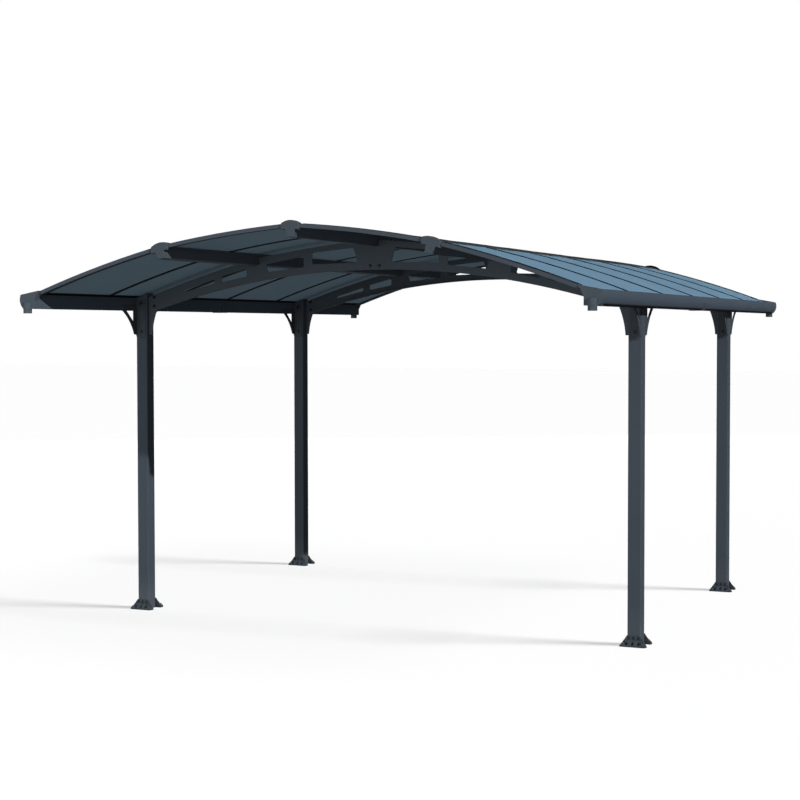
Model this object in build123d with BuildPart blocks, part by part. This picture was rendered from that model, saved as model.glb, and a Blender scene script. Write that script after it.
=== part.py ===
from build123d import *

import math
import os

# Carport of a light metal frame with a bowed roof of thin sheets. Lengths are in millimetres.
# X runs across the bay, Y along it from the front to the back, Z up from the ground.

# Roof: overall size, and the line that the tops of the sheets follow from the ridge to the eave.
roof_length = 4350.0
roof_width = 3616.0
eave_top = 2055.0
purlin_rise = 250.0
ridge_rise = 108.0
purlin_share = 0.5045
bay_rise = 13.0

# Roof sheets and the strips that join and edge them.
sheet_count = 6
sheet_pitch = 720.0
sheet_thickness = 6.0
drip_reach = 29.5
joint_width = 34.0
joint_web = 3.0
joint_skin = 4.0
rim_nose = 20.0
rim_grip = 20.0
rim_skin = 3.0
rim_height = 22.0

# Purlins: cover and wings that grip the sheets, tapered hollow stem below, moulded end caps.
purlin_depth = 74.0
purlin_web = 16.0
purlin_grip = 38.0
purlin_skin = 4.0
purlin_wall = 3.0
cover_play = 0.1
stem_head = 59.0
stem_foot = 41.0
cap_depth = 30.0
cap_half = 56.0
cap_crown = 20.0
cap_edge_lift = 7.0
cap_edge_drop = 30.0
cap_round = 4.0

# Posts: square hollow tubes with rounded corners, cut at the top to the fall of the eave.
post_pitch_y = 2154.0
post_side = 80.0
post_wall = 3.0
post_round = 5.0

# Foot pads, one on the front and one on the back of each post: an upright wall on a stepped wedge, with
# round pockets in the wedge, recesses in the wall and a sunk seat for an anchor in each wing.
pad_width = 159.0
pad_reach = 42.0
pad_height = 62.0
pad_base = 7.0
pad_back = 5.0
pad_crest = 8.0
pad_round = 16.0
ledge_reach = 20.0
ledge_height = 36.0
ledge_back = 12.0
pocket_count = 3
pocket_pitch = 36.0
pocket_radius = 8.5
recess_count = 3
recess_pitch = 29.0
recess_width = 13.0
recess_height = 16.0
anchor_pitch = 116.0
anchor_reach = 28.0
anchor_radius = 5.5
anchor_seat_radius = 11.5
anchor_seat_rise = 12.0

# Arch trusses: slotted plates with folded lips, carried by the posts, notched under the purlins.
truss_gap = 32.0
truss_plate = 4.0
truss_depth = 30.0
truss_lip = 3.0
crown_depth = 142.0
arch_rise = 239.0
heel_inset = 62.0
gusset_height = 163.0
gusset_foot_width = 24.0
gusset_bow = 7.0
notch_side = 1.5
slot_round = 11.0
slot_round_share = 0.4
seam_low = 54.0
seam_high = 93.0
seam_play = 1.5
splice_place = 36.0
splice_width = 150.0
splice_height = 96.0
splice_plate = 4.0
splice_edge = 12.0

# Slots of half a truss from the crown to the post, each at its inner and outer end: the ends of the lower
# edge as shares of their bay, those of the upper edge, then both edges as shares of the plate's height there.
crown_slot_shares = ((0.135, 0.507), (0.169, 0.507), (0.260, 0.339), (0.785, 0.786))
second_slot_shares = ((0.578, 0.877), (0.578, 0.896), (0.276, 0.325), (0.708, 0.665))
third_slot_shares = ((0.065, 0.299), (0.065, 0.299), (0.325, 0.359), (0.668, 0.643))
end_slot_shares = ((0.368, 0.656), (0.368, 0.656), (0.400, 0.467), (0.595, 0.565))

# Knee brackets: a cheek on the post and an open curved web up to the gutter.
cheek_plate = 4.0
cheek_height = 244.0
cheek_width = 70.0
cheek_lap = 65.0
cheek_round = 22.0
knee_plate = 6.0
knee_height = 155.0
knee_toe = 29.0
knee_leg = 39.0
knee_reach = 164.0
knee_strut = 43.0
knee_window = 73.0
knee_lap = 30.0
knee_sag = 12.0

# Gutters: open troughs with a bellied outer wall and a sloping seat under the sheets, in two lengths
# with a strap between.
gutter_width = 102.5
gutter_drop = 104.0
gutter_height = 84.0
gutter_wall = 3.0
gutter_lean = 26.0
belly_rise = 54.0
gutter_lip = 9.0
seat_lap = 30.5
seat_reach = 16.5
seat_skin = 3.0
strap_length = 70.0
strap_skin = 3.0
strap_rise = 45.0

# Gutter ends: hollow caps that stand out past the roof, each with a downpipe spigot under a half-round
# collar on the cap's face.
end_length = 60.0
end_proud = 11.0
end_wall = 4.0
end_head = 3.0
end_shoulder = 47.0
spigot_inset = 47.25
spigot_set = 2.0
spigot_radius = 25.0
spigot_bore = 22.5
spigot_drop = 27.0
collar_radius = 27.0
collar_rise = 39.0

half_length = roof_length / 2
half_width = roof_width / 2
sheet_end = half_length - cap_depth
post_half = post_side / 2
post_outer = half_width - gutter_width
post_x = post_outer - post_half
post_y = post_pitch_y / 2
post_inner = post_x - post_half
eave_x = post_outer - seat_lap
purlin_x = purlin_share * eave_x
purlin_top = eave_top + purlin_rise
ridge_top = purlin_top + ridge_rise
gutter_floor = eave_top - gutter_drop
gutter_lip_top = gutter_floor + gutter_height

os.makedirs("parts", exist_ok=True)


def across(y):
    """Upright plane across the carport at y: local X to the right, local Y up, normal to the front."""
    return Plane(origin=(0, y, 0), x_dir=(1, 0, 0), z_dir=(0, -1, 0))


def handed(side, *points):
    """Points of the right half as they are, or mirrored to the left half."""
    return [(side * x, z) for x, z in points]


def save(piece, name):
    """Names a finished piece and writes its file."""
    piece.label = name
    export_step(piece, f"parts/{name}.step")


def bay_arc(x_in, z_in, x_out, z_out):
    """Centre and radius of the arc through two points that stands bay_rise above their chord."""
    chord = math.hypot(x_out - x_in, z_out - z_in)
    radius = (chord**2 / 4 + bay_rise**2) / (2 * bay_rise)
    reach = radius - bay_rise
    centre_x = (x_in + x_out) / 2 + reach * (z_out - z_in) / chord
    centre_z = (z_in + z_out) / 2 - reach * (x_out - x_in) / chord
    return centre_x, centre_z, radius


inner_bay = bay_arc(0, ridge_top, purlin_x, purlin_top)
outer_bay = bay_arc(purlin_x, purlin_top, eave_x, eave_top)
arch_apex = ridge_top - purlin_depth - crown_depth
arch_heel_x = post_inner - heel_inset
arch_radius = (arch_heel_x**2 + arch_rise**2) / (2 * arch_rise)


def roof_point(x, lift):
    """Point at x on the curve that runs lift above the tops of the sheets."""
    centre_x, centre_z, radius = inner_bay if abs(x) <= purlin_x else outer_bay
    return x, centre_z + math.sqrt((radius + lift) ** 2 - (abs(x) - centre_x) ** 2)


def arch_point(x, lift):
    """Point at x on the curve that runs lift above the lower edge of the arch trusses."""
    return x, arch_apex - arch_radius + math.sqrt((arch_radius + lift) ** 2 - x**2)


def draw_band(curve, x_in, x_out, lift_high, lift_low):
    """Face between two lifts of a curve, with upright ends at x_in and x_out."""
    x_mid = (x_in + x_out) / 2
    with BuildLine() as outline:
        ThreePointArc(curve(x_in, lift_high), curve(x_mid, lift_high), curve(x_out, lift_high))
        Line(curve(x_out, lift_high), curve(x_out, lift_low))
        ThreePointArc(curve(x_out, lift_low), curve(x_mid, lift_low), curve(x_in, lift_low))
        Line(curve(x_in, lift_low), curve(x_in, lift_high))
    make_face(outline.edges())


# Roof strips from the left eave to the right one, by name, with the sheets' edges in X.
sheet_lap = purlin_web / 2
drip_x = post_outer + drip_reach
strips = {
    "left_lower": (-drip_x, -purlin_x - sheet_lap),
    "left_upper": (-purlin_x + sheet_lap, -sheet_lap),
    "right_upper": (sheet_lap, purlin_x - sheet_lap),
    "right_lower": (purlin_x + sheet_lap, drip_x),
}


def strip_span(name, beside_purlin, beside_gutter):
    """X limits of a roof strip, beside_purlin from a purlin's middle and beside_gutter at the eave."""
    side = -1 if name.startswith("left") else 1
    if name.endswith("lower"):
        return side * (purlin_x + beside_purlin), side * beside_gutter
    return side * beside_purlin, side * (purlin_x - beside_purlin)


# Each strip is a row of sheets whose edges stand in the slots of the joint strips between them.
joint_places = [sheet_pitch * (n - sheet_count / 2) for n in range(1, sheet_count)]
sheet_fronts = [-sheet_end] + [place + joint_web / 2 for place in joint_places]
sheet_backs = [place - joint_web / 2 for place in joint_places] + [sheet_end]

for strip, (edge_a, edge_b) in strips.items():
    with BuildPart() as sheets:
        for front, back in zip(sheet_fronts, sheet_backs):
            with BuildSketch(across(back)):
                draw_band(roof_point, edge_a, edge_b, 0, -sheet_thickness)
            extrude(amount=back - front)
    save(sheets.part, f"{strip}_sheets")

    joint_in, joint_out = strip_span(strip, purlin_grip, eave_x)
    cover_out = strip_span(strip, purlin_grip, drip_x)[1]
    with BuildPart() as joints:
        for place in joint_places:
            with BuildSketch(across(place + joint_web / 2)):
                draw_band(roof_point, joint_in, joint_out, joint_skin, -sheet_thickness - joint_skin)
            extrude(amount=joint_web)
            with BuildSketch(across(place + joint_width / 2)):
                draw_band(roof_point, joint_in, cover_out, joint_skin, 0)
                draw_band(roof_point, joint_in, joint_out, -sheet_thickness, -sheet_thickness - joint_skin)
            extrude(amount=joint_width)
    save(joints.part, f"{strip}_joints")

# Edge strips close the ends of the roof: a nose in front of the sheets and two lips that grip them.
for end, y_out in (("front", -1), ("back", 1)):
    with BuildPart() as rim:
        for strip in strips:
            rim_in, rim_out = strip_span(strip, cap_half, eave_x)
            with BuildSketch(across(y_out * sheet_end)):
                draw_band(roof_point, rim_in, rim_out, rim_skin, rim_skin - rim_height)
            extrude(amount=-y_out * rim_nose)
            with BuildSketch(across(y_out * sheet_end)):
                draw_band(roof_point, rim_in, rim_out, rim_skin, 0)
                draw_band(roof_point, rim_in, rim_out, -sheet_thickness, rim_skin - rim_height)
            extrude(amount=y_out * rim_grip)
    save(rim.part, f"{end}_edge_strips")


purlin_lean = sum(math.atan2(purlin_x - x, purlin_top - z) for x, z, _ in (inner_bay, outer_bay)) / 2


def purlin_point(x, along, lift):
    """Point by the purlin at x, square to the roof: along it to the right and lift above the sheets."""
    lean = math.copysign(purlin_lean, x) if x else 0
    top = roof_point(x, 0)[1]
    across_x = x + along * math.cos(lean) + lift * math.sin(lean)
    return across_x, top - along * math.sin(lean) + lift * math.cos(lean)


def draw_purlin(x):
    """Purlin section: cover above the sheets, web between them, wings below and a hollow tapered stem.

    The stem stands square to the roof.
    """

    def half(side):
        wing_under = -sheet_thickness - purlin_skin
        head = x + side * stem_head / 2
        grip = x + side * purlin_grip
        web = x + side * purlin_web / 2
        return [
            purlin_point(x, side * stem_foot / 2, -purlin_depth),
            roof_point(head, wing_under),
            roof_point(grip, wing_under),
            roof_point(grip, -sheet_thickness),
            roof_point(web, -sheet_thickness),
            roof_point(web, cover_play),
            roof_point(grip, cover_play),
            roof_point(grip, purlin_skin),
        ]

    def hollow(side):
        head = x + side * (stem_head / 2 - purlin_wall)
        foot = side * (stem_foot / 2 - purlin_wall)
        ceiling = -sheet_thickness - purlin_skin - purlin_wall
        return [purlin_point(x, foot, purlin_wall - purlin_depth), roof_point(head, ceiling)]

    crown = roof_point(x, 2 * purlin_skin)
    with BuildLine() as outline:
        Polyline(*half(1), crown, *reversed(half(-1)), close=True)
    make_face(outline.edges())
    with BuildLine() as outline:
        Polyline(*hollow(1), *reversed(hollow(-1)), close=True)
    make_face(outline.edges(), mode=Mode.SUBTRACT)


def draw_cap(x):
    """Mushroom outline of a purlin's end cap: crowned head along the roof line on a tapered neck."""
    left_tip = roof_point(x - cap_half, cap_edge_lift)
    right_tip = roof_point(x + cap_half, cap_edge_lift)
    crown = roof_point(x, cap_crown)
    neck_left = x - stem_head / 2
    neck_right = x + stem_head / 2
    with BuildLine() as outline:
        ThreePointArc(left_tip, crown, right_tip)
        Polyline(
            right_tip,
            roof_point(x + cap_half, -cap_edge_drop),
            roof_point(neck_right, -cap_edge_drop),
            purlin_point(x, stem_foot / 2, -purlin_depth),
            purlin_point(x, -stem_foot / 2, -purlin_depth),
            roof_point(neck_left, -cap_edge_drop),
            roof_point(x - cap_half, -cap_edge_drop),
            left_tip,
        )
    make_face(outline.edges())


purlins = {"left": -purlin_x, "ridge": 0, "right": purlin_x}

for place, x in purlins.items():
    with BuildPart() as purlin:
        with BuildSketch(across(sheet_end)):
            draw_purlin(x)
        extrude(amount=2 * sheet_end)
    save(purlin.part, f"{place}_purlin")

for end, y_out in (("front", -1), ("back", 1)):
    with BuildPart() as caps:
        for x in purlins.values():
            with BuildSketch(across(y_out * sheet_end)):
                draw_cap(x)
            extrude(amount=-y_out * cap_depth)
        outer_faces = caps.faces().group_by(Axis.Y)[-1 if y_out > 0 else 0]
        fillet(outer_faces.edges(), cap_round)
    save(caps.part, f"{end}_purlin_caps")

# The seat under the sheets is straight between two points of their underside, and so is the post's cut.
seat_out_x = post_outer + seat_reach
seat_in = roof_point(eave_x, -sheet_thickness)
seat_out = roof_point(seat_out_x, -sheet_thickness)
seat_fall = (seat_in[1] - seat_out[1]) / (seat_out[0] - seat_in[0])
seat_drop = seat_skin * math.hypot(1, seat_fall)


def seat_under(x):
    """Height of the underside of the gutter's seat at a distance x from the middle."""
    return seat_in[1] - seat_fall * (x - eave_x) - seat_drop


corners = {
    f"{end}_{hand}": (side, y_out)
    for end, y_out in (("front", -1), ("back", 1))
    for hand, side in (("left", -1), ("right", 1))
}

for corner, (side, y_out) in corners.items():
    with BuildPart() as post:
        with BuildSketch():
            with Locations((side * post_x, y_out * post_y)):
                RectangleRounded(post_side, post_side, post_round)
                bore = post_side - 2 * post_wall
                RectangleRounded(bore, bore, post_round - post_wall, mode=Mode.SUBTRACT)
        extrude(amount=ridge_top)
        cut = Plane(
            origin=(side * post_outer, 0, seat_under(post_outer)),
            z_dir=(side * seat_fall, 0, 1),
        )
        split(bisect_by=cut, keep=Keep.BOTTOM)
    save(post.part, f"{corner}_post")

# Foot pads: the profile seen from the side, cut to wings that draw in to the post and rounded in plan.
anchor_y = post_half + anchor_reach
wall_middle = (ledge_height + pad_height) / 2


def row(x, count, pitch):
    """Places along X of a row about x."""
    return [x + pitch * (n - (count - 1) / 2) for n in range(count)]


def draw_pad_side(face, y_out):
    """Profile of a pad from the post's face outwards: upright wall, ledge and slope down to the base."""
    profile = (
        (0, 0),
        (pad_reach, 0),
        (pad_reach, pad_base),
        (ledge_reach, ledge_height),
        (ledge_back, ledge_height),
        (pad_crest, pad_height),
        (0, pad_height),
    )
    with BuildLine() as outline:
        Polyline(*((face + y_out * reach, z) for reach, z in profile), close=True)
    make_face(outline.edges())


def foot_pad(x, y, y_out):
    """One pad for the post at x, y, on its front or back face."""
    face = y + y_out * post_half
    half_foot, half_head = pad_width / 2, post_side / 2
    wings = ((-half_foot, 0), (half_foot, 0), (half_head, pad_height), (-half_head, pad_height))
    anchors = [(place, y + y_out * anchor_y) for place in row(x, 2, anchor_pitch)]
    with BuildPart() as pad:
        with BuildSketch(Plane.YZ.offset(x)):
            draw_pad_side(face, y_out)
        extrude(amount=half_foot, both=True)
        with BuildSketch(across(face)):
            with BuildLine():
                Polyline(*((x + place, z) for place, z in wings), close=True)
            make_face()
        extrude(amount=-y_out * pad_reach, mode=Mode.INTERSECT)
        with BuildSketch():
            with Locations((x, face)):
                RectangleRounded(pad_width, 2 * pad_reach, pad_round)
        extrude(amount=pad_height, mode=Mode.INTERSECT)
        with BuildSketch(Plane.XY.offset(pad_base)):
            pocket_y = face + y_out * (pad_reach + ledge_reach) / 2
            with Locations(*((place, pocket_y) for place in row(x, pocket_count, pocket_pitch))):
                Circle(pocket_radius)
        extrude(amount=pad_height, mode=Mode.SUBTRACT)
        with BuildSketch(across(face + y_out * pad_back)):
            with Locations(*((place, wall_middle) for place in row(x, recess_count, recess_pitch))):
                Rectangle(recess_width, recess_height)
        extrude(amount=-y_out * pad_reach, mode=Mode.SUBTRACT)
        with BuildSketch(Plane.XY.offset(anchor_seat_rise)):
            with Locations(*anchors):
                Circle(anchor_seat_radius)
        extrude(amount=pad_height, mode=Mode.SUBTRACT)
        with BuildSketch():
            with Locations(*anchors):
                Circle(anchor_radius)
        extrude(amount=pad_height, mode=Mode.SUBTRACT)
    return pad.part


for corner, (side, y_end) in corners.items():
    front_pad = foot_pad(side * post_x, y_end * post_y, -1)
    back_pad = foot_pad(side * post_x, y_end * post_y, 1)
    with BuildPart() as pads:
        add(front_pad)
        add(back_pad)
    save(pads.part, f"{corner}_foot_pads")

# Arch trusses: two halves a truss, each a plate with four slots, lips on its edges and a gusset foot.
# They meet on a slanted seam to the right of the ridge purlin, so the left half carries that purlin.
gusset_toe_x = post_inner - gusset_foot_width
notch_half = stem_head / 2 + notch_side


def notch_edge(x, along):
    """X at which a side of the notch for the purlin at x meets the upper edge of a truss."""
    return purlin_point(x, along, -truss_gap)[0]


beyond_purlin = notch_edge(purlin_x, notch_half)
before_purlin = notch_edge(purlin_x, -notch_half)


def draw_truss_half(side):
    """Outline of half an arch from the seam to the post, with its purlin notches."""

    def upper(*places):
        return handed(side, *(roof_point(x, -truss_gap) for x in places))

    def notch(x):
        foot = (purlin_point(x, along, -purlin_depth) for along in (notch_half, -notch_half))
        return [*upper(notch_edge(x, notch_half)), *handed(side, *foot), *upper(notch_edge(x, -notch_half))]

    heel = arch_point(arch_heel_x, 0)
    gusset_foot = heel[1] - gusset_height
    toe = (gusset_toe_x, gusset_foot)
    waist = ((heel[0] + toe[0]) / 2 + gusset_bow, (heel[1] + toe[1]) / 2)
    seam_head = side * seam_high
    seam_foot = arch_point(side * seam_low, 0)
    with BuildLine() as outline:
        ThreePointArc(*handed(side, seam_foot, arch_point(arch_heel_x / 2, 0), heel))
        ThreePointArc(*handed(side, heel, waist, toe))
        Polyline(*handed(side, toe, (post_inner, gusset_foot)), *upper(post_inner))
        ThreePointArc(*upper(post_inner, (post_inner + beyond_purlin) / 2, beyond_purlin))
        Polyline(*notch(purlin_x))
        if side > 0:
            ThreePointArc(*upper(before_purlin, (before_purlin + seam_head) / 2, seam_head))
        else:
            ThreePointArc(*upper(before_purlin, (before_purlin + notch_half) / 2, notch_half))
            Polyline(*notch(0))
            ThreePointArc(*upper(-notch_half, (seam_head - notch_half) / 2, seam_head))
        Polyline(*upper(seam_head), *handed(side, seam_foot))
    make_face(outline.edges())


def slot_corners(bay_in, bay_out, shares):
    """Corners of a slot in the bay from bay_in to bay_out: lower edge outwards, then upper edge back."""
    low_places, high_places, low_shares, high_shares = shares

    def corner(place_share, height_share):
        x = bay_in + place_share * (bay_out - bay_in)
        low = arch_point(x, 0)[1]
        return x, low + height_share * (roof_point(x, -truss_gap)[1] - low)

    return [*map(corner, low_places, low_shares), *reversed([*map(corner, high_places, high_shares)])]


slots = [
    slot_corners(0, purlin_x, crown_slot_shares),
    slot_corners(0, purlin_x, second_slot_shares),
    slot_corners(purlin_x, post_inner, third_slot_shares),
    slot_corners(purlin_x, post_inner, end_slot_shares),
]


for end, y_out in (("front", -1), ("back", 1)):
    face = y_out * (post_y + truss_depth / 2)
    for hand, side in (("left", -1), ("right", 1)):
        with BuildPart() as truss:
            with BuildSketch(across(face)):
                draw_truss_half(side)
            extrude(amount=y_out * truss_plate)
            for corners_of_slot in slots:
                with BuildSketch(across(face)) as opening:
                    with BuildLine():
                        Polyline(*((side * x, z) for x, z in corners_of_slot), close=True)
                    make_face()
                    low_in, low_out, high_out, high_in = (z for x, z in corners_of_slot)
                    narrow_end = min(high_in - low_in, high_out - low_out)
                    fillet(opening.vertices(), min(slot_round, slot_round_share * narrow_end))
                extrude(amount=y_out * truss_plate, mode=Mode.SUBTRACT)
            with BuildSketch(across(face)):
                lip_low = -truss_gap - truss_lip
                lip_in = seam_low + seam_play if side > 0 else seam_low
                rim_in = seam_high if side > 0 else -notch_half
                draw_band(arch_point, lip_in, side * arch_heel_x, truss_lip, 0)
                draw_band(roof_point, rim_in, side * before_purlin, -truss_gap, lip_low)
                draw_band(roof_point, side * beyond_purlin, side * post_inner, -truss_gap, lip_low)
                if side < 0:
                    draw_band(roof_point, notch_half, seam_high - seam_play, -truss_gap, lip_low)
            extrude(amount=y_out * truss_depth)
        save(truss.part, f"{end}_truss_{hand}_half")

    with BuildPart() as splice:
        splice_z = arch_apex + truss_lip + splice_edge + splice_height / 2
        with BuildSketch(across(face - y_out * truss_plate)):
            with Locations((splice_place, splice_z)):
                RectangleRounded(splice_width, splice_height, splice_edge)
        extrude(amount=y_out * splice_plate)
    save(splice.part, f"{end}_truss_splice")

# Knee brackets: one on the front and one on the back of each post, with an open curved web.
cheek_z = gutter_floor + cheek_lap - cheek_height / 2
knee_foot = gutter_floor - knee_height

for corner, (side, y_end) in corners.items():
    with BuildPart() as knees:
        for y_out in (-1, 1):
            face = y_end * post_y + y_out * post_half
            with BuildSketch(across(face)) as cheek:
                with Locations((side * (post_outer - cheek_width / 2), cheek_z)):
                    Rectangle(cheek_width, cheek_height)
                fillet(cheek.vertices().group_by(Axis.Y)[0], cheek_round)
            extrude(amount=-y_out * cheek_plate)
            with BuildSketch(Plane.YZ.offset(side * post_outer)):
                foot = (face + y_out * knee_toe, knee_foot)
                top = (face + y_out * knee_reach, gutter_floor)
                waist_y = face + y_out * ((knee_toe + knee_reach) / 2 - knee_sag)
                waist = (waist_y, (knee_foot + gutter_floor) / 2 + knee_sag)
                with BuildLine():
                    Polyline((face, knee_foot), foot)
                    ThreePointArc(foot, waist, top)
                    Polyline(
                        top,
                        (face + y_out * knee_reach, gutter_floor + knee_lap),
                        (face, gutter_floor + knee_lap),
                        (face, knee_foot),
                    )
                make_face()
                with BuildLine():
                    Polyline(
                        (face + y_out * knee_leg, gutter_floor - knee_window),
                        (face + y_out * (knee_reach - knee_strut), gutter_floor),
                        (face + y_out * knee_leg, gutter_floor),
                        close=True,
                    )
                make_face(mode=Mode.SUBTRACT)
            extrude(amount=-side * knee_plate)
    save(knees.part, f"{corner}_knee_brackets")


belly_z = gutter_floor + belly_rise
belly_radius = (gutter_lean**2 + belly_rise**2) / (2 * gutter_lean)


def wall_point(z, lift):
    """Point at height z on the curve that runs lift outside the gutter's bellied outer wall."""
    return half_width - belly_radius + math.sqrt((belly_radius + lift) ** 2 - (z - belly_z) ** 2), z


def wall_arc(side, low, high, lift):
    """Adds that curve to an outline, from the height low to high."""
    heights = (low, (low + high) / 2, high)
    ThreePointArc(*handed(side, *(wall_point(z, lift) for z in heights)))


trough_in = post_outer + gutter_wall
trough_floor = gutter_floor + gutter_wall
trough_top = gutter_lip_top - gutter_wall


def draw_gutter(side):
    """Gutter section: flat floor, bellied outer wall with a turned lip, inner wall and sloping seat."""
    lip_x = wall_point(gutter_lip_top, 0)[0] - gutter_lip
    lip = ((lip_x, gutter_lip_top), (lip_x, trough_top))
    inner_wall = (
        (trough_in, trough_floor),
        (trough_in, seat_under(trough_in)),
        (seat_out_x, seat_under(seat_out_x)),
        seat_out,
        seat_in,
        (eave_x, seat_under(eave_x)),
        (post_outer, seat_under(post_outer)),
        (post_outer, gutter_floor),
    )
    inner_head, inner_foot = wall_point(trough_top, -gutter_wall), wall_point(trough_floor, -gutter_wall)
    with BuildLine() as outline:
        wall_arc(side, gutter_floor, gutter_lip_top, 0)
        Polyline(*handed(side, wall_point(gutter_lip_top, 0), *lip, inner_head))
        wall_arc(side, trough_top, trough_floor, -gutter_wall)
        Polyline(*handed(side, inner_foot, *inner_wall, wall_point(gutter_floor, 0)))
    make_face(outline.edges())


def draw_trough(side):
    """Inside of the trough, from its floor to the underside of the lip."""
    inner_head, inner_foot = wall_point(trough_top, -gutter_wall), wall_point(trough_floor, -gutter_wall)
    with BuildLine() as outline:
        wall_arc(side, trough_floor, trough_top, -gutter_wall)
        Polyline(*handed(side, inner_head, (trough_in, trough_top), (trough_in, trough_floor), inner_foot))
    make_face(outline.edges())


def draw_gutter_end(side):
    """Face of a gutter's end cap: the trough's outline under a head that slopes with the roof."""
    head = ((eave_x, eave_top + end_head), (post_outer, gutter_floor + end_shoulder), (post_outer, gutter_floor))
    with BuildLine() as outline:
        wall_arc(side, gutter_floor, gutter_lip_top, 0)
        Polyline(*handed(side, wall_point(gutter_lip_top, 0), *head, wall_point(gutter_floor, 0)))
    make_face(outline.edges())


def draw_strap(side):
    """Strap round the outside of the trough where two lengths meet."""
    rise, under = gutter_floor + strap_rise, gutter_floor - strap_skin
    strap_in = post_outer - strap_skin
    inner_leg = ((strap_in, under), (strap_in, rise), (post_outer, rise), (post_outer, gutter_floor))
    with BuildLine() as outline:
        wall_arc(side, gutter_floor, rise, 0)
        Line(*handed(side, wall_point(rise, 0), wall_point(rise, strap_skin)))
        wall_arc(side, rise, under, strap_skin)
        Polyline(*handed(side, wall_point(under, strap_skin), *inner_leg, wall_point(gutter_floor, 0)))
    make_face(outline.edges())


gutter_end = half_length - end_length
end_face = half_length + end_proud
cap_inside = end_face - end_wall
spigot_y = end_face - spigot_set
spigot_x = post_outer + spigot_inset

for hand, side in (("left", -1), ("right", 1)):
    for end, y_out in (("front", -1), ("back", 1)):
        with BuildPart() as gutter:
            with BuildSketch(across(0)):
                draw_gutter(side)
            extrude(amount=-y_out * gutter_end)
        save(gutter.part, f"{hand}_gutter_{end}")

        with BuildPart() as outlet:
            with BuildSketch(across(y_out * gutter_end)):
                draw_gutter(side)
            extrude(amount=-y_out * (sheet_end - gutter_end))
            with BuildSketch(across(y_out * sheet_end)):
                draw_gutter_end(side)
            extrude(amount=-y_out * (end_face - sheet_end))
            with BuildSketch(across(y_out * sheet_end)):
                draw_trough(side)
            extrude(amount=-y_out * (cap_inside - sheet_end), mode=Mode.SUBTRACT)
            with BuildSketch(Plane.XY.offset(gutter_floor)):
                with Locations((side * spigot_x, y_out * spigot_y)):
                    Circle(collar_radius)
                with Locations((side * spigot_x, y_out * (cap_inside - collar_radius))):
                    Rectangle(2 * collar_radius, 2 * collar_radius, mode=Mode.SUBTRACT)
            extrude(amount=collar_rise)
            with BuildSketch(Plane.XY.offset(gutter_floor)):
                with Locations((side * spigot_x, y_out * spigot_y)):
                    Circle(spigot_radius)
            extrude(amount=-spigot_drop)
            with BuildSketch(Plane.XY.offset(gutter_floor - spigot_drop)):
                with Locations((side * spigot_x, y_out * spigot_y)):
                    Circle(spigot_bore)
            extrude(amount=spigot_drop + collar_rise - gutter_wall, mode=Mode.SUBTRACT)
        save(outlet.part, f"{hand}_gutter_outlet_{end}")

    with BuildPart() as strap:
        with BuildSketch(across(strap_length / 2)):
            draw_strap(side)
        extrude(amount=strap_length)
    save(strap.part, f"{hand}_gutter_strap")
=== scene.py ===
import math

import bmesh
import bpy
import numpy as np
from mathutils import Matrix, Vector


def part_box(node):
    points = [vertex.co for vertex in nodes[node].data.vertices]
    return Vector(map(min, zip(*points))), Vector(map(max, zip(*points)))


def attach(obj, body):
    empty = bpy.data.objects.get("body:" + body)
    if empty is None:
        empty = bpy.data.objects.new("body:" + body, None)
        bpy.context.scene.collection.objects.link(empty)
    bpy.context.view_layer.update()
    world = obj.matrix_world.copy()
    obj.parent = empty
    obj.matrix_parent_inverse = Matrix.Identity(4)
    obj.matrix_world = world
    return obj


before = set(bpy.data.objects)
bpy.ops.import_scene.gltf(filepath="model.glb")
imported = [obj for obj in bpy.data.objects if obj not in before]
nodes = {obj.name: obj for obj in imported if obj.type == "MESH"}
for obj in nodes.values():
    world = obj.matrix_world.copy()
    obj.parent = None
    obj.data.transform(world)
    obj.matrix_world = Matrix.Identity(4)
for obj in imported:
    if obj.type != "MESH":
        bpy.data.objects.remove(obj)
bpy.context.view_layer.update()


# Posts
# Four square tubes of extruded aluminium with rounded corners, powder-coated anthracite in the works.
# They stand between the foot pads, and the trusses, knee brackets and gutters are fixed to their heads.

corners = ("front_left", "front_right", "back_left", "back_right")


def linear(hex_colour):
    """sRGB hex to linear RGBA: a channel c is c / 12.92 near black, else ((c + 0.055) / 1.055) to the 2.4."""
    c = np.array([int(hex_colour[i : i + 2], 16) / 255 for i in (1, 3, 5)])
    rgb = np.where(c <= 0.04045, c / 12.92, ((c + 0.055) / 1.055) ** 2.4)
    return (*(float(channel) for channel in rgb), 1.0)


def add_node(tree, kind, values=None, links=None, **properties):
    """Adds one node with its properties, its input values and the outputs that its inputs are linked to."""
    node = tree.nodes.new(kind)
    for name, value in properties.items():
        setattr(node, name, value)
    for name, value in (values or {}).items():
        node.inputs[name].default_value = value
    for name, source in (links or {}).items():
        tree.links.new(source, node.inputs[name])
    return node


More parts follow.
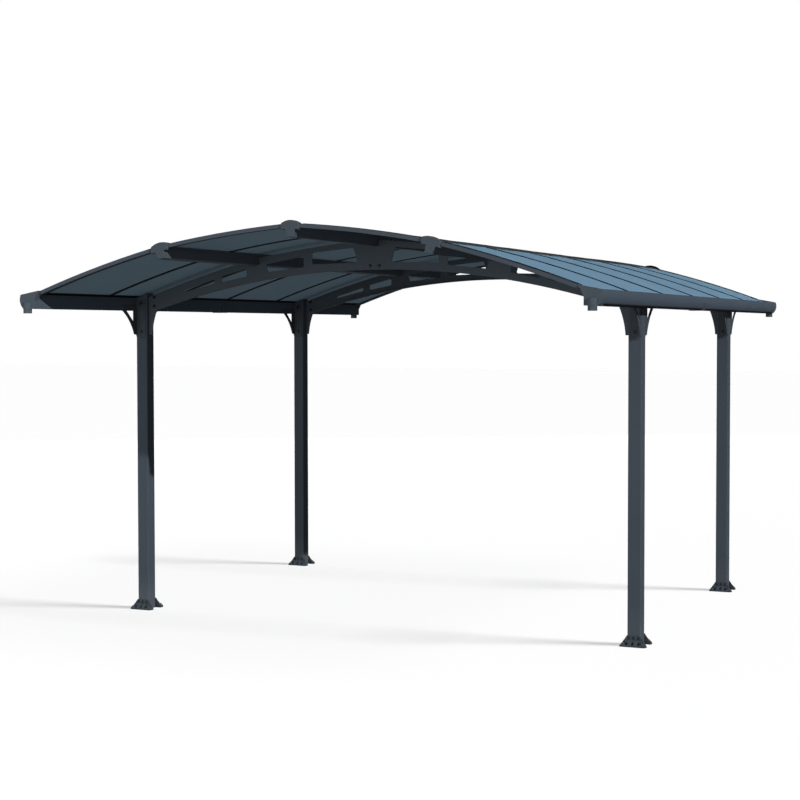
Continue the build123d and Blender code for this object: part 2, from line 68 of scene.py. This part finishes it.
def powder_coat(name, dark, light, roughness, turned=()):
    """Polyester powder coat: matt to satin, a faint peel from the melt, tone drift, and dust near the ground.

    The peel is about 2 mm on the real coat and drawn at 9 mm, because finer would not show in the picture.
    Turned has pairs of a colour and a sine: that colour covers what is turned further up than the angle of
    that sine, or further down where the sine is negative. The downward ones, on the gutters and edge
    strips, are painted shade.
    """
    dust = "#6B6E70"
    peel_mm, drift_mm, dust_top_mm = 9.0, 420.0, 240.0
    peel_depth_mm, dust_share, roughness_drift, cover_fade = 0.6, 0.5, 0.06, 0.1
    material = bpy.data.materials.new(name)
    material.use_nodes = True
    tree = material.node_tree
    shader = tree.nodes["Principled BSDF"]
    place = add_node(tree, "ShaderNodeTexCoord").outputs["Object"]
    drift = add_node(
        tree, "ShaderNodeTexNoise", {"Scale": 1000 / drift_mm, "Detail": 4.0}, {"Vector": place}
    ).outputs["Fac"]
    coat = add_node(
        tree, "ShaderNodeMix", {6: linear(dark), 7: linear(light)}, {0: drift}, data_type="RGBA"
    ).outputs[2]
    height = add_node(tree, "ShaderNodeSeparateXYZ", links={0: place}).outputs["Z"]
    near_ground = add_node(
        tree, "ShaderNodeMapRange", {1: dust_top_mm / 1000, 2: 0.0, 3: 0.0, 4: dust_share}, {0: height}
    ).outputs[0]
    settled = add_node(
        tree, "ShaderNodeMath", links={0: near_ground, 1: drift}, operation="MULTIPLY"
    ).outputs[0]
    tone = add_node(
        tree, "ShaderNodeMix", {7: linear(dust)}, {0: settled, 6: coat}, data_type="RGBA"
    ).outputs[2]
    for colour, sine in turned:
        facing = add_node(tree, "ShaderNodeTexCoord").outputs["Normal"]
        upward = add_node(tree, "ShaderNodeSeparateXYZ", links={0: facing}).outputs["Z"]
        reached = sine + math.copysign(cover_fade, sine)
        covered = add_node(tree, "ShaderNodeMapRange", {1: sine, 2: reached}, {0: upward}).outputs[0]
        tone = add_node(
            tree, "ShaderNodeMix", {7: linear(colour)}, {0: covered, 6: tone}, data_type="RGBA"
        ).outputs[2]
    tree.links.new(tone, shader.inputs["Base Color"])
    peel = add_node(
        tree, "ShaderNodeTexNoise", {"Scale": 1000 / peel_mm, "Detail": 2.0}, {"Vector": place}
    ).outputs["Fac"]
    gloss = add_node(
        tree,
        "ShaderNodeMapRange",
        {3: roughness - roughness_drift, 4: roughness + roughness_drift},
        {0: drift},
    ).outputs[0]
    tree.links.new(gloss, shader.inputs["Roughness"])
    bump = add_node(
        tree, "ShaderNodeBump", {"Strength": 0.12, "Distance": peel_depth_mm / 1000}, {"Height": peel}
    ).outputs["Normal"]
    tree.links.new(bump, shader.inputs["Normal"])
    shader.inputs["IOR"].default_value = 1.5
    shader.inputs["Specular IOR Level"].default_value = 0.001
    return material


def finish_nodes(names, material):
    """Gives CAD nodes their material."""
    for name in names:
        mesh = nodes[name].data
        mesh.materials.clear()
        mesh.materials.append(material)


aluminium_coat = powder_coat("powder_coated_aluminium", "#3F464E", "#454D55", 0.52)
finish_nodes([f"{corner}_post" for corner in corners], aluminium_coat)


# Foot pads
# Two ribbed feet to a post, moulded in glass-filled nylon, one against its front face and one against its
# back. Anchor bolts with washers hold them to the ground through the outer pockets.


def moulded_fitting(name, dark, light, roughness, pocket_shade=None, seal=None):
    """Glass-filled nylon moulded against a spark-eroded tool: matt, with an even fine grain.

    The grain is well under 1 mm on the real piece and drawn at 7 mm, because finer would not show.
    Where a pocket shade colour is given, it is painted shade: ambient occlusion darkens pockets and corners
    closer than 24 mm towards it. Where a seal is given, it is the colour of the rubber on faces turned to the
    middle of the roof, where the place's Y times the normal's Y is well below zero.
    """
    grain_mm, grain_depth_mm, pocket_mm = 7.0, 0.5, 24.0
    seal_from, seal_full = -1.0, -1.6
    material = bpy.data.materials.new(name)
    material.use_nodes = True
    tree = material.node_tree
    shader = tree.nodes["Principled BSDF"]
    place = add_node(tree, "ShaderNodeTexCoord").outputs["Object"]
    grain = add_node(
        tree, "ShaderNodeTexNoise", {"Scale": 1000 / grain_mm, "Detail": 3.0}, {"Vector": place}
    ).outputs["Fac"]
    tone = add_node(
        tree, "ShaderNodeMix", {6: linear(dark), 7: linear(light)}, {0: grain}, data_type="RGBA"
    ).outputs[2]
    if pocket_shade:
        # Painted shade: pockets and corners darken towards the given colour by ambient occlusion.
        open_air = add_node(
            tree, "ShaderNodeAmbientOcclusion", {"Distance": pocket_mm / 1000}
        ).outputs["AO"]
        tone = add_node(
            tree, "ShaderNodeMix", {6: linear(pocket_shade)}, {0: open_air, 7: tone}, data_type="RGBA"
        ).outputs[2]
    if seal:
        facing = add_node(tree, "ShaderNodeTexCoord").outputs["Normal"]
        place_y = add_node(tree, "ShaderNodeSeparateXYZ", links={0: place}).outputs["Y"]
        facing_y = add_node(tree, "ShaderNodeSeparateXYZ", links={0: facing}).outputs["Y"]
        outward = add_node(
            tree, "ShaderNodeMath", links={0: place_y, 1: facing_y}, operation="MULTIPLY"
        ).outputs[0]
        rubber = add_node(tree, "ShaderNodeMapRange", {1: seal_from, 2: seal_full}, {0: outward}).outputs[0]
        tone = add_node(
            tree, "ShaderNodeMix", {7: linear(seal)}, {0: rubber, 6: tone}, data_type="RGBA"
        ).outputs[2]
    tree.links.new(tone, shader.inputs["Base Color"])
    matt = add_node(
        tree, "ShaderNodeMapRange", {3: roughness - 0.05, 4: roughness + 0.08}, {0: grain}
    ).outputs[0]
    tree.links.new(matt, shader.inputs["Roughness"])
    bump = add_node(
        tree, "ShaderNodeBump", {"Strength": 0.15, "Distance": grain_depth_mm / 1000}, {"Height": grain}
    ).outputs["Normal"]
    tree.links.new(bump, shader.inputs["Normal"])
    shader.inputs["IOR"].default_value = 1.53
    shader.inputs["Specular IOR Level"].default_value = 0.001
    return material


# The feet carry painted shade in their pockets and corners.
foot_nylon = moulded_fitting("moulded_nylon_foot", "#3B4247", "#444C52", 0.55, pocket_shade="#0B0D0E")
finish_nodes([f"{corner}_foot_pads" for corner in corners], foot_nylon)


def surface(name, points):
    """Mesh of quads over grids of points: an array of (copies, rows, columns, 3) whose rows close into rings.

    Doubles are merged, so a row of equal points becomes one pole.
    """
    copies, rows, columns, _ = points.shape
    index = np.arange(copies * rows * columns).reshape(copies, rows, columns)
    index = np.concatenate([index, index[:, :, :1]], axis=2)
    quads = np.stack(
        [index[:, :-1, :-1], index[:, :-1, 1:], index[:, 1:, 1:], index[:, 1:, :-1]], axis=-1
    )
    mesh = bpy.data.meshes.new(name)
    mesh.from_pydata(points.reshape(-1, 3).tolist(), [], quads.reshape(-1, 4).tolist())
    shape = bmesh.new()
    shape.from_mesh(mesh)
    bmesh.ops.remove_doubles(shape, verts=shape.verts, dist=1e-6)
    bmesh.ops.dissolve_degenerate(shape, edges=shape.edges, dist=1e-6)
    bmesh.ops.recalc_face_normals(shape, faces=shape.faces)
    shape.to_mesh(mesh)
    shape.free()
    mesh.shade_smooth()
    mesh.set_sharp_from_angle(angle=math.radians(35))
    piece = bpy.data.objects.new(name, mesh)
    bpy.context.scene.collection.objects.link(piece)
    return piece


def hex_bolts(name, seats, outward, across_corners, head, washer):
    """Hexagon heads on washers: a profile of (radius, height, how hexagonal) turned about each bolt's axis.

    At angle t a hexagonal radius is r cos(30) / cos(t mod 60 - 30), and a round one is r. The axis outward
    is a unit vector across X.
    """
    r, rim, thick = across_corners / 2, washer[0] / 2, washer[1]
    profile = np.array(
        [
            (0.0, 0.0, 0.0),
            (rim, 0.0, 0.0),
            (rim, 0.8 * thick, 0.0),
            (0.96 * rim, thick, 0.0),
            (r, thick, 1.0),
            (r, thick + 0.82 * head, 1.0),
            (0.86 * r, thick + head, 0.0),
            (0.0, thick + head, 0.0),
        ]
    )
    turn = np.linspace(0, 2 * math.pi, 24, endpoint=False)
    hexagon = math.cos(math.pi / 6) / np.cos(turn % (math.pi / 3) - math.pi / 6)
    radius = profile[:, :1] * (1 - profile[:, 2:] + profile[:, 2:] * hexagon)
    axis = np.array(outward, float)
    side = np.cross(axis, (1.0, 0.0, 0.0))
    other = np.cross(axis, side)
    ring = np.cos(turn)[:, None] * side + np.sin(turn)[:, None] * other
    one = radius[:, :, None] * ring + profile[:, 1, None, None] * axis
    return surface(name, np.array(seats, float)[:, None, None, :] + one)


def zinc_plate(name, dark, light, metallic):
    """Zinc-plated steel: a dull grey metal with the faint spangle of the passivated layer, 4 mm across.

    A black passivation or a sealer over the zinc lowers how metallic it looks.
    """
    spangle_mm = 4.0
    material = bpy.data.materials.new(name)
    material.use_nodes = True
    tree = material.node_tree
    shader = tree.nodes["Principled BSDF"]
    place = add_node(tree, "ShaderNodeTexCoord").outputs["Object"]
    spangle = add_node(
        tree, "ShaderNodeTexVoronoi", {"Scale": 1000 / spangle_mm}, {"Vector": place}
    ).outputs["Distance"]
    tone = add_node(
        tree, "ShaderNodeMix", {6: linear(dark), 7: linear(light)}, {0: spangle}, data_type="RGBA"
    ).outputs[2]
    tree.links.new(tone, shader.inputs["Base Color"])
    shader.inputs["Metallic"].default_value = metallic
    shader.inputs["Roughness"].default_value = 0.5
    shader.inputs["Specular IOR Level"].default_value = 0.1
    return material


def fix(piece, material):
    """Gives a piece its material and lets it ride on the carport."""
    piece.data.materials.append(material)
    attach(piece, "root")


anchor_zinc = zinc_plate("blackened_zinc_anchor", "#33373B", "#4C5156", 0.6)
bolt_corners = 0.0185
anchor_head, anchor_washer = 0.010, (0.022, 0.002)
anchor_seat = 0.012
anchor_across, anchor_along = 0.058, 0.068
post_centres = {
    corner: np.array((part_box(f"{corner}_post")[0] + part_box(f"{corner}_post")[1]) / 2) for corner in corners
}
anchor_seats = [
    (x + dx, y + dy, anchor_seat)
    for x, y, _ in post_centres.values()
    for dx in (-anchor_across, anchor_across)
    for dy in (-anchor_along, anchor_along)
]
anchors = hex_bolts("anchor_bolts", anchor_seats, (0, 0, 1), bolt_corners, anchor_head, anchor_washer)
fix(anchors, anchor_zinc)


# Arch trusses
# Two arches, each in two halves of pressed steel plate with folded lips and four slots, powder-coated.
# A splice plate joins the halves under the ridge, and bolts hold the heels to the posts.

steel_coat = powder_coat("powder_coated_steel", "#434A50", "#495157", 0.55)
truss_parts = ("left_half", "right_half", "splice")
trusses = [f"{end}_truss_{part}" for end in ("front", "back") for part in truss_parts]
finish_nodes(trusses, steel_coat)

bolt_black = zinc_plate("black_zinc_bolt", "#1A1E21", "#22272A", 0.0)
bolt_head, nut_height, bolt_washer = 0.007, 0.009, (0.0215, 0.0018)
truss_plate = 0.004
heel_x, heel_heights = 1.585, (1.980, 2.040)
crown_x, crown_height = (-0.028, 0.0325), 2.2195
heel_bolts = [(side * heel_x, z) for side in (-1, 1) for z in heel_heights]
crown_bolts = [(x, crown_height) for x in crown_x]
for end, out in (("front", -1), ("back", 1)):
    plate_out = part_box(f"{end}_truss_left_half")[0 if out < 0 else 1].y
    plate_in = plate_out - out * truss_plate
    splice_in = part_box(f"{end}_truss_splice")[1 if out < 0 else 0].y
    heads = [(x, plate_out, z) for x, z in heel_bolts + crown_bolts]
    nuts = [(x, plate_in, z) for x, z in heel_bolts] + [(x, splice_in, z) for x, z in crown_bolts]
    bolts = hex_bolts(f"{end}_truss_bolts", heads, (0, out, 0), bolt_corners, bolt_head, bolt_washer)
    fix(bolts, bolt_black)
    bolts = hex_bolts(f"{end}_truss_nuts", nuts, (0, -out, 0), bolt_corners, nut_height, bolt_washer)
    fix(bolts, bolt_black)


# Knee brackets
# Cast arms at the front and back of each post head, each with a cheek against the post and a curved web up
# to the gutter, powder-coated like the trusses. Two bolts go through each cheek.

bracket_coat = powder_coat("powder_coated_casting", "#3C4247", "#42484D", 0.6)
finish_nodes([f"{corner}_knee_brackets" for corner in corners], bracket_coat)

post_half, cheek_plate = 0.040, 0.004
cheek_heights = (1.815, 2.000)
for out, where in ((-1, "front"), (1, "back")):
    seats = [
        (x, y + out * (post_half + cheek_plate), z)
        for x, y, _ in post_centres.values()
        for z in cheek_heights
    ]
    bolts = hex_bolts(f"cheek_bolts_{where}", seats, (0, out, 0), bolt_corners, bolt_head, bolt_washer)
    fix(bolts, bolt_black)


# Gutters
# Extruded aluminium troughs along both eaves, each in two lengths with a folded steel strap over the joint.
# Their lowest faces carry painted shade, near-black. Moulded end pieces close them, each with a spigot for a
# downpipe.

gutters = [f"{hand}_gutter_{end}" for hand in ("left", "right") for end in ("front", "back")]
# Painted shade: gutter faces turned down past the sine -0.58 are near-black, as the shade under the belly.
painted_underside_shade = ("#0B0D0F", -0.58)
gutter_coat = powder_coat("powder_coated_gutter_with_drip_line", "#414A54", "#47515C", 0.55, [painted_underside_shade])
finish_nodes(gutters, gutter_coat)
finish_nodes([f"{hand}_gutter_strap" for hand in ("left", "right")], steel_coat)

fitting_nylon = moulded_fitting("moulded_nylon_fitting", "#414950", "#4C545C", 0.5)
outlets = [f"{hand}_gutter_outlet_{end}" for hand in ("left", "right") for end in ("front", "back")]
finish_nodes(outlets, fitting_nylon)


# Purlins
# Three extruded aluminium beams under the ridge and half-way down each slope, seated in notches in the
# trusses. Their covers, dark on top, clamp the sheets, and moulded caps with rubber seals close their ends.

purlins = [f"{place}_purlin" for place in ("left", "ridge", "right")]
dark_cover = ("#262B30", 0.5)
purlin_coat = powder_coat("powder_coated_purlin_with_dark_cover", "#464D54", "#4C535A", 0.52, [dark_cover])
finish_nodes(purlins, purlin_coat)
cap_seal = "#0A0B0C"
cap_nylon = moulded_fitting("moulded_nylon_cap_with_rubber_seal", "#3D454B", "#485057", 0.5, seal=cap_seal)
finish_nodes(["front_purlin_caps", "back_purlin_caps"], cap_nylon)


# Roof
# Four strips of thin tinted polycarbonate sheets, bowed from purlin to purlin and down to the gutter seats.
# Extruded strips join them edge to edge. Aluminium edge strips with rubber lips close both ends of the roof,
# and a thin rubber bead seals the sheets behind each.


def tinted_sheet(name, outer, inner, drift_share):
    """Extruded smoke-tinted polycarbonate: smooth, with the faint flutes of its inner walls.

    The upper side is painted lighter and bluer than the inner side, as a painted reflection of the sky; the
    inner side is plain smoke grey. The flutes run down the slope every 6 mm in the real sheet and are drawn
    every 48 mm, so that they show.
    """
    flute_mm, flute_depth_mm, drift_mm = 48.0, 0.4, 600.0
    flute_share, side_fade = 0.25, 0.1
    wave_period = 2 * math.pi / 20  # metres between the bands of a Wave texture at scale 1
    material = bpy.data.materials.new(name)
    material.use_nodes = True
    tree = material.node_tree
    shader = tree.nodes["Principled BSDF"]
    place = add_node(tree, "ShaderNodeTexCoord").outputs["Object"]
    flutes = add_node(
        tree,
        "ShaderNodeTexWave",
        {"Scale": wave_period * 1000 / flute_mm, "Distortion": 0.0},
        {"Vector": place},
        wave_type="BANDS",
        bands_direction="Y",
    ).outputs["Fac"]
    drift = add_node(
        tree, "ShaderNodeTexNoise", {"Scale": 1000 / drift_mm, "Detail": 3.0}, {"Vector": place}
    ).outputs["Fac"]
    mixed = add_node(
        tree, "ShaderNodeMix", {0: flute_share}, {2: drift, 3: flutes}, data_type="FLOAT"
    ).outputs[0]
    facing = add_node(tree, "ShaderNodeTexCoord").outputs["Normal"]
    upward = add_node(tree, "ShaderNodeSeparateXYZ", links={0: facing}).outputs["Z"]
    # Painted reflection: faces turned up take the lighter, bluer outer colour as the sky's reflection.
    painted_reflection_side = add_node(
        tree, "ShaderNodeMapRange", {1: -side_fade, 2: side_fade}, {0: upward}
    ).outputs[0]
    sheet_with_painted_reflection = add_node(
        tree, "ShaderNodeMix", {6: linear(inner), 7: linear(outer)}, {0: painted_reflection_side}, data_type="RGBA"
    ).outputs[2]
    shade = add_node(
        tree, "ShaderNodeMapRange", {3: 1 - drift_share, 4: 1 + drift_share}, {0: mixed}
    ).outputs[0]
    tone = add_node(tree, "ShaderNodeHueSaturation", links={"Value": shade, "Color": sheet_with_painted_reflection}).outputs[0]
    tree.links.new(tone, shader.inputs["Base Color"])
    bump = add_node(
        tree, "ShaderNodeBump", {"Strength": 0.08, "Distance": flute_depth_mm / 1000}, {"Height": flutes}
    ).outputs["Normal"]
    tree.links.new(bump, shader.inputs["Normal"])
    shader.inputs["Roughness"].default_value = 0.6
    shader.inputs["IOR"].default_value = 1.585
    shader.inputs["Specular IOR Level"].default_value = 0.0
    return material


strips = ("left_lower", "left_upper", "right_upper", "right_lower")
# The outer colour is the smoke grey with a painted sky reflection.
smoke_sheet = tinted_sheet("smoke_tinted_polycarbonate", "#7495AC", "#677A87", 0.10)
finish_nodes([f"{strip}_sheets" for strip in strips], smoke_sheet)
joint_rubber = moulded_fitting("extruded_joint_strip", "#15191C", "#1B2024", 0.6)
finish_nodes([f"{strip}_joints" for strip in strips], joint_rubber)
# Painted shade: the edge strips' faces turned down are darker, as the shade under the lip.
painted_shade_lip, rubber_lip = ("#2B3238", -0.45), ("#1B1F23", 0.6)
edge_coat = powder_coat(
    "powder_coated_edge_strip_with_rubber_lip", "#40474F", "#464D55", 0.52, [painted_shade_lip, rubber_lip]
)
finish_nodes(["front_edge_strips", "back_edge_strips"], edge_coat)

bead_radius, bead_lift, bead_inset = 0.0045, 0.002, 0.003


def seal_bead(strip, x_from, x_to, y):
    """Rubber bead along a strip's upper face at y: a circle square to the face, carried from x_from to x_to.

    The face's height is the parabola fitted to the upper corners of the strip's mesh at the roof's end. Both
    ends close to a point, and the circle's middle lies bead_lift above the face.
    """
    mesh = nodes[f"{strip}_sheets"].data
    points = np.empty(3 * len(mesh.vertices))
    mesh.vertices.foreach_get("co", points)
    points = points.reshape(-1, 3)
    end = points[points[:, 1] > points[:, 1].max() - 1e-4]
    upper = end[end[:, 2] > np.polyval(np.polyfit(end[:, 0], end[:, 2], 2), end[:, 0])]
    face = np.polyfit(upper[:, 0], upper[:, 2], 2)
    x = np.concatenate([[x_from], np.linspace(x_from, x_to, 25), [x_to]])
    slope = np.polyval(np.polyder(face), x)
    up = np.stack([-slope, 0 * x, 1 + 0 * x], axis=1) / np.hypot(1, slope)[:, None]
    middle = np.stack([x, y + 0 * x, np.polyval(face, x)], axis=1) + bead_lift * up
    radius = np.concatenate([[0], np.full(len(x) - 2, bead_radius), [0]])
    turn = np.linspace(0, 2 * math.pi, 10, endpoint=False)
    ring = np.cos(turn)[:, None] * up[:, None, :] + np.sin(turn)[:, None] * np.array((0.0, 1.0, 0.0))
    return middle[:, None, :] + radius[:, None, None] * ring


purlin_x, cap_half, eave_x = 0.845, 0.056, 1.675
seal_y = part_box("back_edge_strips")[0].y - bead_inset
seal_spans = {
    "left_lower": (-eave_x, -purlin_x - cap_half),
    "left_upper": (cap_half - purlin_x, -cap_half),
    "right_upper": (cap_half, purlin_x - cap_half),
    "right_lower": (purlin_x + cap_half, eave_x),
}
seals = [seal_bead(strip, *seal_spans[strip], y) for strip in strips for y in (-seal_y, seal_y)]
fix(surface("roof_end_seals", np.array(seals)), joint_rubber)


# Ground, light and camera
# A pale floor and a white surround. A key lamp at the front right and three softboxes light the carport, a
# faint glow from the ground lights its sheets, and two soft lamps light the floor alone: one for the shadows
# of the posts and trusses, one for the roof's. The camera stands where the picture was taken.


def seen_directly(tree):
    """1 for rays from the camera, by reflection or through a clear piece, else 0."""
    path = add_node(tree, "ShaderNodeLightPath").outputs
    either = add_node(
        tree,
        "ShaderNodeMath",
        links={0: path["Is Camera Ray"], 1: path["Is Glossy Ray"]},
        operation="MAXIMUM",
    ).outputs[0]
    return add_node(
        tree, "ShaderNodeMath", links={0: either, 1: path["Is Transmission Ray"]}, operation="MAXIMUM"
    ).outputs[0]


def studio_sky(world, horizon, overhead, front):
    """White to direct rays; as light, horizon + overhead * height squared + front * frontness squared.

    Height is the sine of the ray's angle above the ground, and frontness is its part towards -Y. Neither is
    less than 0.
    """
    world.use_nodes = True
    tree = world.node_tree
    ray = add_node(tree, "ShaderNodeTexCoord").outputs["Generated"]
    parts = add_node(tree, "ShaderNodeSeparateXYZ", links={0: ray}).outputs
    height = add_node(tree, "ShaderNodeMapRange", {1: 0.0, 2: 1.0}, {0: parts["Z"]}).outputs[0]
    frontness = add_node(tree, "ShaderNodeMapRange", {1: 0.0, 2: -1.0}, {0: parts["Y"]}).outputs[0]
    squares = [
        add_node(tree, "ShaderNodeMath", links={0: part, 1: part}, operation="MULTIPLY").outputs[0]
        for part in (height, frontness)
    ]
    from_above = add_node(
        tree, "ShaderNodeMath", {1: overhead, 2: horizon}, {0: squares[0]}, operation="MULTIPLY_ADD"
    ).outputs[0]
    light = add_node(
        tree, "ShaderNodeMath", {1: front}, {0: squares[1], 2: from_above}, operation="MULTIPLY_ADD"
    ).outputs[0]
    direct = seen_directly(tree)
    tint = add_node(
        tree, "ShaderNodeMix", {6: linear("#F0F6FF"), 7: linear("#FFFFFF")}, {0: direct}, data_type="RGBA"
    ).outputs[2]
    strength = add_node(
        tree, "ShaderNodeMix", {3: 1.0}, {0: direct, 2: light}, data_type="FLOAT"
    ).outputs[0]
    background = tree.nodes["Background"]
    tree.links.new(tint, background.inputs["Color"])
    tree.links.new(strength, background.inputs["Strength"])


sky = bpy.data.worlds.new("studio_sky")
bpy.context.scene.world = sky
studio_sky(sky, 0.01, 0.27, 0.10)

floor_half, floor_drop = 60.0, 0.0005
floor_corners = floor_half * np.array([(-1, -1, 0), (1, -1, 0), (1, 1, 0), (-1, 1, 0)])
floor_mesh = bpy.data.meshes.new("floor")
floor_mesh.from_pydata(floor_corners.tolist(), [], [(0, 1, 2, 3)])
floor = bpy.data.objects.new("floor", floor_mesh)
floor.location.z = -floor_drop
bpy.context.scene.collection.objects.link(floor)


def pale_floor(name, throws, seen, glow):
    """Matt studio floor: a grey that throws little light on the carport, and a paler one where it is seen.

    Seen directly it also glows evenly, so that it runs into the white surround and keeps soft shadows.
    """
    material = bpy.data.materials.new(name)
    material.use_nodes = True
    tree = material.node_tree
    tree.nodes.clear()
    grey = add_node(tree, "ShaderNodeBsdfDiffuse", {"Color": linear(throws)}).outputs[0]
    pale = add_node(tree, "ShaderNodeBsdfDiffuse", {"Color": linear(seen)}).outputs[0]
    even = add_node(tree, "ShaderNodeEmission", {"Strength": glow}).outputs[0]
    white = add_node(tree, "ShaderNodeAddShader", links={0: pale, 1: even}).outputs[0]
    look = add_node(
        tree, "ShaderNodeMixShader", links={0: seen_directly(tree), 1: grey, 2: white}
    ).outputs[0]
    add_node(tree, "ShaderNodeOutputMaterial", links={0: look})
    return material


floor_mesh.materials.append(pale_floor("pale_floor", "#3E3E3E", "#595959", 0.55))


def sun_lamp(name, towards, energy, spread, lit, casting):
    """Sun lamp from the direction towards, spread degrees across, for the objects in lit and casting.

    Those in lit are lit by it, and those in casting throw shadows in it.
    """
    lamp = bpy.data.lights.new(name, "SUN")
    lamp.energy = energy
    lamp.angle = math.radians(spread)
    sun = bpy.data.objects.new(name, lamp)
    x, y, z = towards
    sun.rotation_euler = (math.atan2(math.hypot(x, y), z), 0, math.atan2(x, -y))
    bpy.context.scene.collection.objects.link(sun)
    sun.light_linking.receiver_collection = bpy.data.collections.new(name + "_lights")
    sun.light_linking.blocker_collection = bpy.data.collections.new(name + "_shadows")
    for piece in lit:
        sun.light_linking.receiver_collection.objects.link(piece)
    for piece in casting:
        sun.light_linking.blocker_collection.objects.link(piece)


carport = [piece for piece in bpy.context.scene.objects if piece.type == "MESH" and piece is not floor]
stand_parts = ("post", "foot_pads", "knee_brackets")
stands = [nodes[f"{corner}_{part}"] for corner in corners for part in stand_parts]
arches = [nodes[name] for name in trusses]
sheets = [nodes[f"{strip}_sheets"] for strip in strips]
front_right, high_right, below = (0.817, -0.361, 0.449), (0.57, 0.11, 0.81), (0.3, -0.1, -0.95)
sun_lamp("key_lamp", front_right, 3.3, 0.6, carport, carport)
sun_lamp("floor_lamp", high_right, 14.6, 13.0, [floor], stands + arches)
sun_lamp("roof_shade_lamp", high_right, 1.6, 25.0, [floor], carport)
sun_lamp("ground_glow", below, 0.46, 70.0, sheets, carport)


def softbox(name, place, turn, watts):
    """Upright area lamp at place that shines along +Y, turned by turn degrees about the vertical."""
    wide, high = 14.0, 4.0
    lamp = bpy.data.lights.new(name, "AREA")
    lamp.shape = "RECTANGLE"
    lamp.size, lamp.size_y = wide, high
    lamp.energy = watts
    box = bpy.data.objects.new(name, lamp)
    box.location = place
    box.rotation_euler = (math.radians(90), 0, math.radians(turn))
    bpy.context.scene.collection.objects.link(box)


softbox("front_softbox", (-3.0, -9.8, 2.2), 0, 470.0)
softbox("back_softbox", (-9.0, 14.0, 2.2), 210, 800.0)
softbox("left_softbox", (-15.0, 0.0, 2.2), -90, 700.0)

camera_down, camera_turn = 1.9379, 22.3076
camera_lens = bpy.data.cameras.new("camera")
camera_lens.sensor_width = 36.0
camera_lens.lens = 73.22
camera_lens.shift_x, camera_lens.shift_y = -0.0808, -0.0189
camera = bpy.data.objects.new("camera", camera_lens)
camera.location = (4.3078, -10.1323, 1.8266)
camera.rotation_euler = (math.radians(90 - camera_down), 0, math.radians(camera_turn))
bpy.context.scene.collection.objects.link(camera)
bpy.context.scene.camera = camera
bpy.context.scene.view_settings.view_transform = "Standard"
